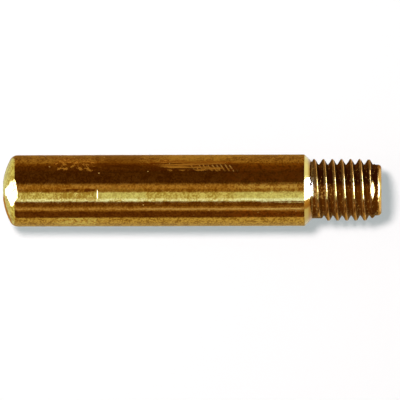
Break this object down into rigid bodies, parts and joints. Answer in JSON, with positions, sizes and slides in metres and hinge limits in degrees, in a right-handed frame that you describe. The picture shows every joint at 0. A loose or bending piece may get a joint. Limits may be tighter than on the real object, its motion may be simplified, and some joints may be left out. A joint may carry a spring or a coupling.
{
  "type": "welding contact tip",
  "caption": "Straight round welding contact tip with a domed nose, a through bore for the wire, a conical shoulder and a threaded shank.",
  "frame": {"origin": "centre of the flat threaded end face, on which the tip stands", "axes": "+Z along the wire bore towards the domed nose; +X and +Y across it"},
  "size_m": [0.0072, 0.0072, 0.0378],
  "materials": {
    "tip_metal": "drawn bar with turned nose, shoulder and thread, lightly scratched"
  },
  "bodies": {
    "root": {"contact_tip": "tip_metal"}
  },
  "joints": []
}
